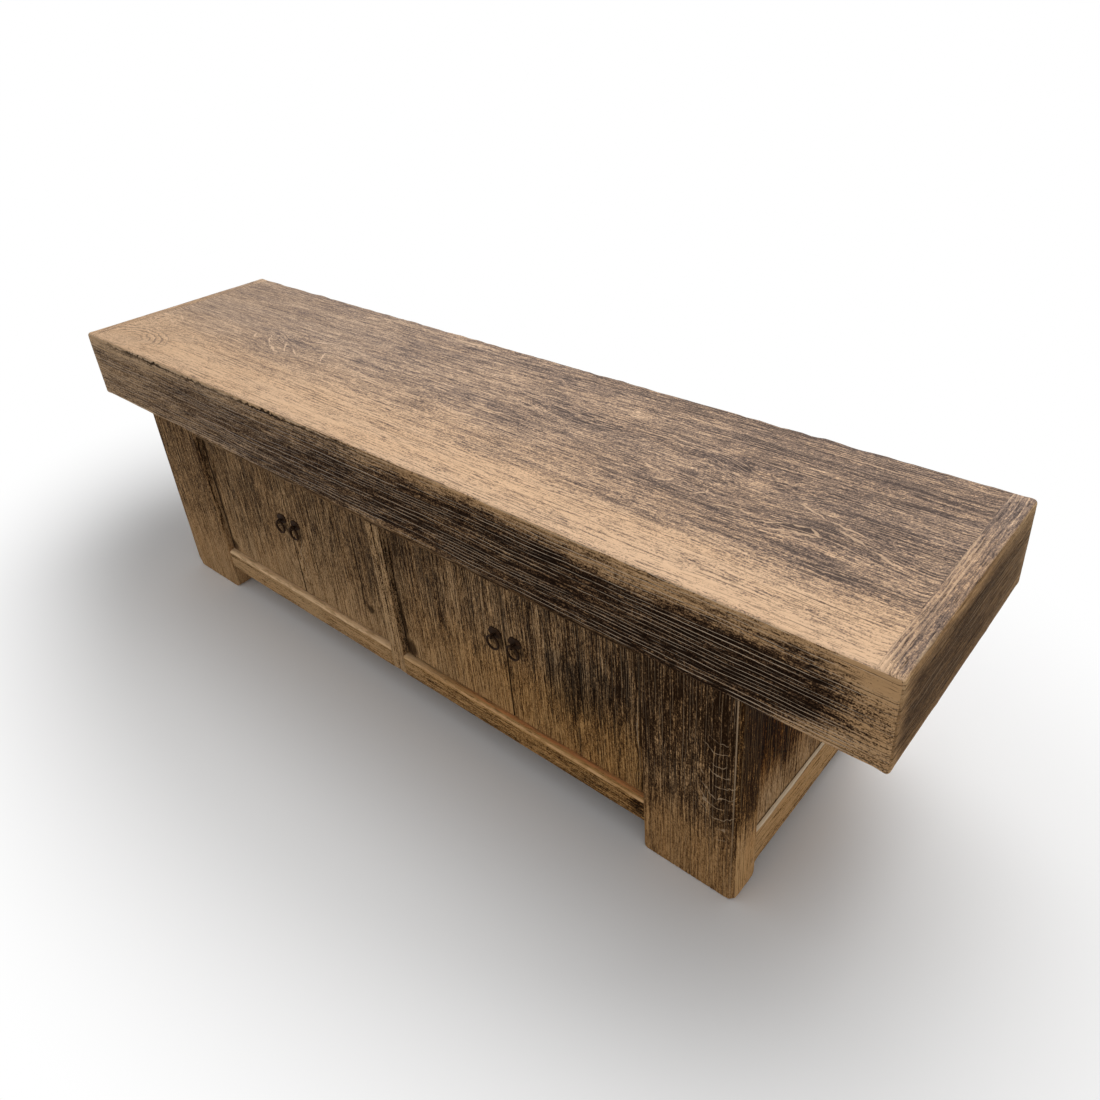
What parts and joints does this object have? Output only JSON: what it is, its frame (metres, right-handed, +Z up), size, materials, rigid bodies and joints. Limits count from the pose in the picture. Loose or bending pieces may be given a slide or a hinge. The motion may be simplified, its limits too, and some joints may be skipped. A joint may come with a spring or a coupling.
{
  "type": "tv cabinet",
  "caption": "Low weathered elm cabinet with a thick overhanging plank top, wide board legs, recessed plank doors in pairs on wooden pivots and iron ring pulls.",
  "frame": {"origin": "on the floor, under the middle of the top", "axes": "+X along the length to the right of someone facing the doors, +Y to the back, +Z up"},
  "size_m": [2, 0.48, 0.585],
  "materials": {
    "elm_top": "weathered bare elm, pale where worn and dark in the grain",
    "elm_frame": "weathered elm, dark above and tan towards the feet",
    "elm_door": "weathered elm planks with upright grain",
    "elm_panel": "weathered elm panels with upright grain",
    "elm_inner": "plain sawn elm",
    "black_iron": "blackened forged iron"
  },
  "bodies": {
    "cabinet": {"top_board": "elm_top", "top_front_board": "elm_top", "top_back_board": "elm_top", "top_end_board_left": "elm_top", "top_end_board_right": "elm_top", "top_under_board": "elm_inner", "top_rib_left": "elm_inner", "top_rib_centre": "elm_inner", "top_rib_right": "elm_inner", "top_dowels": "elm_inner", "floor_board_left": "elm_inner", "floor_board_right": "elm_inner", "centre_partition": "elm_inner", "front_leg_left": "elm_frame", "front_leg_right": "elm_frame", "back_leg_left": "elm_frame", "back_leg_right": "elm_frame", "front_bottom_rail_left": "elm_frame", "front_bottom_rail_right": "elm_frame", "back_bottom_rail": "elm_frame", "side_bottom_rail_left": "elm_frame", "side_bottom_rail_right": "elm_frame", "front_top_rail": "elm_frame", "back_top_rail": "elm_frame", "side_top_rail_left": "elm_frame", "side_top_rail_right": "elm_frame", "front_centre_stile": "elm_frame", "back_centre_stile": "elm_frame", "side_panel_left": "elm_panel", "side_panel_right": "elm_panel", "back_panel_left": "elm_panel", "back_panel_right": "elm_panel"},
    "door_1": {"door_1_board": "elm_door", "door_1_batten_upper": "elm_inner", "door_1_batten_lower": "elm_inner", "door_1_pivot_pins": "elm_inner", "pull_1_plate": "black_iron", "pull_1_eye": "black_iron"},
    "ring_1": {"pull_1_ring": "black_iron"},
    "door_2": {"door_2_board": "elm_door", "door_2_batten_upper": "elm_inner", "door_2_batten_lower": "elm_inner", "door_2_pivot_pins": "elm_inner", "pull_2_plate": "black_iron", "pull_2_eye": "black_iron"},
    "ring_2": {"pull_2_ring": "black_iron"},
    "door_3": {"door_3_board": "elm_door", "door_3_batten_upper": "elm_inner", "door_3_batten_lower": "elm_inner", "door_3_pivot_pins": "elm_inner", "pull_3_plate": "black_iron", "pull_3_eye": "black_iron"},
    "ring_3": {"pull_3_ring": "black_iron"},
    "door_4": {"door_4_board": "elm_door", "door_4_batten_upper": "elm_inner", "door_4_batten_lower": "elm_inner", "door_4_pivot_pins": "elm_inner", "pull_4_plate": "black_iron", "pull_4_eye": "black_iron"},
    "ring_4": {"pull_4_ring": "black_iron"}
  },
  "joints": [
    {"name": "door_1_hinge", "type": "hinge", "parent": "cabinet", "child": "door_1", "pos_m": [-0.5965, -0.21, 0.26], "axis": [0, 0, -1], "range_deg": [0, 85]},
    {"name": "ring_1_lift", "type": "hinge", "parent": "door_1", "child": "ring_1", "pos_m": [-0.3425, -0.2263, 0.292], "axis": [-1, 0, 0], "range_deg": [0, 90]},
    {"name": "door_2_hinge", "type": "hinge", "parent": "cabinet", "child": "door_2", "pos_m": [-0.0405, -0.21, 0.26], "axis": [0, 0, 1], "range_deg": [0, 85]},
    {"name": "ring_2_lift", "type": "hinge", "parent": "door_2", "child": "ring_2", "pos_m": [-0.2945, -0.2263, 0.292], "axis": [-1, 0, 0], "range_deg": [0, 90]},
    {"name": "door_3_hinge", "type": "hinge", "parent": "cabinet", "child": "door_3", "pos_m": [0.0405, -0.21, 0.26], "axis": [0, 0, -1], "range_deg": [0, 85]},
    {"name": "ring_3_lift", "type": "hinge", "parent": "door_3", "child": "ring_3", "pos_m": [0.2945, -0.2263, 0.292], "axis": [-1, 0, 0], "range_deg": [0, 90]},
    {"name": "door_4_hinge", "type": "hinge", "parent": "cabinet", "child": "door_4", "pos_m": [0.5965, -0.21, 0.26], "axis": [0, 0, 1], "range_deg": [0, 85]},
    {"name": "ring_4_lift", "type": "hinge", "parent": "door_4", "child": "ring_4", "pos_m": [0.3425, -0.2263, 0.292], "axis": [-1, 0, 0], "range_deg": [0, 90]}
  ]
}
